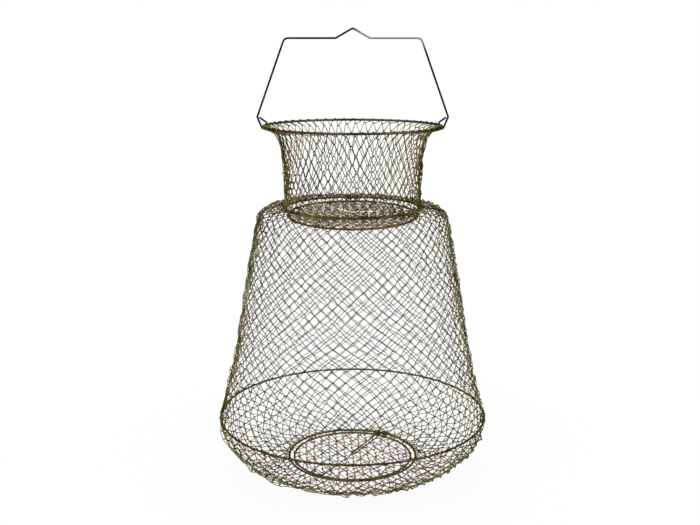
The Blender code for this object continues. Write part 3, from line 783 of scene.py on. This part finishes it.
def hatch():
    """The sprung hatch in the bottom, with a spoke that steps over the tip of its spring."""
    door = Door("hatch_swing", "hatch_ring", 0.0)
    door_pieces("hatch", door, HATCH_CELL, seed=34, spring_leg=HATCH_SPRING_LEG)
    tip_y = -door.centre.y - HATCH_SPRING_LEG - SPRING_TIP_HALF_WIDTH
    low = on_net((0.0, 0.0), STAY_WIRE)[2]
    over = low + SPRING_WIRE + GAP
    half_over = SPRING_WIRE + SPOKE_OVER_SHARE * STAY_WIRE
    spoke = [
        (0.0, tip_y + SPRING_WIRE + STAY_WIRE, low),
        (0.0, tip_y + half_over, over),
        (0.0, tip_y - half_over, over),
        (0.0, tip_y - SPRING_WIRE - 2 * STAY_WIRE, low),
        on_net(polar(door.radius - HOOK_REACH, HATCH_SPOKE), STAY_WIRE),
    ]
    spoke += hook_points(HATCH_SPOKE, door.radius, STAY_WIRE)
    tubes("hatch_spoke_wire", [door.middle(spoke)], STAY_WIRE, SPRING_METAL, "hatch",
          ["hatch_spoke"], resolution=2)
    ferrule = frame["nodes"]["hatch_ring_ferrule"]
    ferrule.material_slots[0].material = BRASS_METAL


def camera():
    data = bpy.data.cameras.new("camera")
    data.sensor_width = SENSOR_WIDTH
    data.lens = SENSOR_WIDTH * FOCAL_PIXELS / PHOTO_WIDTH
    data.clip_start = CAMERA_NEAR
    data.clip_end = CAMERA_FAR
    view = bpy.data.objects.new("camera", data)
    bpy.context.scene.collection.objects.link(view)
    view.location = (CAMERA_X, -CAMERA_DISTANCE, RIM_Z + CAMERA_OVER_RIM)
    view.rotation_euler = (math.pi / 2 - CAMERA_PITCH, 0.0, 0.0)
    bpy.context.scene.camera = view


def lamp(name, place, size, energy):
    """A square lamp that points at the middle of the basket."""
    data = bpy.data.lights.new(name, "AREA")
    data.size = size
    data.energy = energy
    light = bpy.data.objects.new(name, data)
    bpy.context.scene.collection.objects.link(light)
    light.location = place
    aim = Vector((0.0, 0.0, (RIM_Z + FRAME_Z) / 2)) - light.location
    light.rotation_euler = aim.to_track_quat("-Z", "Y").to_euler()


def seen_share(tree):
    """1 where the camera or a mirrored ray looks, and 0 where only light arrives."""
    rays = node(tree, "ShaderNodeLightPath").outputs
    return combined(tree, "MAXIMUM", rays["Is Camera Ray"], rays["Is Glossy Ray"])


def white_floor():
    """A white floor that fades into the white background, both of which the wires reflect."""
    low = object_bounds()[0][2]
    bpy.ops.mesh.primitive_plane_add(size=FLOOR_SIZE, location=(0.0, 0.0, low - FLOOR_DROP))
    floor = bpy.context.object
    floor.name = "floor"
    mat = bpy.data.materials.new("floor")
    mat.use_nodes = True
    tree = mat.node_tree
    shader = tree.nodes["Principled BSDF"]
    shader.inputs["Base Color"].default_value = (FLOOR_GREY, FLOOR_GREY, FLOOR_GREY, 1.0)
    shader.inputs["Roughness"].default_value = FLOOR_ROUGHNESS
    away = tree.nodes.new("ShaderNodeVectorMath")
    away.operation = "LENGTH"
    tree.links.new(node(tree, "ShaderNodeTexCoord").outputs["Object"], away.inputs[0])
    fade = ramped(tree, away.outputs["Value"], *FLOOR_FADE, start=FLOOR_WHITE_NEAR, kind="SMOOTHSTEP")
    glow = node(tree, "ShaderNodeEmission", Color=(1.0, 1.0, 1.0, 1.0), Strength=1.0)
    mix = node(tree, "ShaderNodeMixShader", Fac=combined(tree, "MULTIPLY", seen_share(tree), fade))
    tree.links.new(shader.outputs["BSDF"], mix.inputs[1])
    tree.links.new(glow.outputs["Emission"], mix.inputs[2])
    tree.links.new(mix.outputs["Shader"], tree.nodes["Material Output"].inputs["Surface"])
    floor.data.materials.append(mat)


def studio():
    """A white background, which lights the wires less than it shows, and the lamps."""
    world = bpy.data.worlds.new("studio")
    bpy.context.scene.world = world
    world.use_nodes = True
    tree = world.node_tree
    back = tree.nodes["Background"]
    back.inputs["Color"].default_value = (1.0, 1.0, 1.0, 1.0)
    level = ramped(tree, seen_share(tree), 0.0, 1.0, WORLD_LIGHT)
    tree.links.new(level, back.inputs["Strength"])
    for settings in LAMPS:
        lamp(*settings)


basket()
trap_door()
hatch()
camera()
white_floor()
studio()
bpy.context.scene.view_settings.view_transform = "Standard"
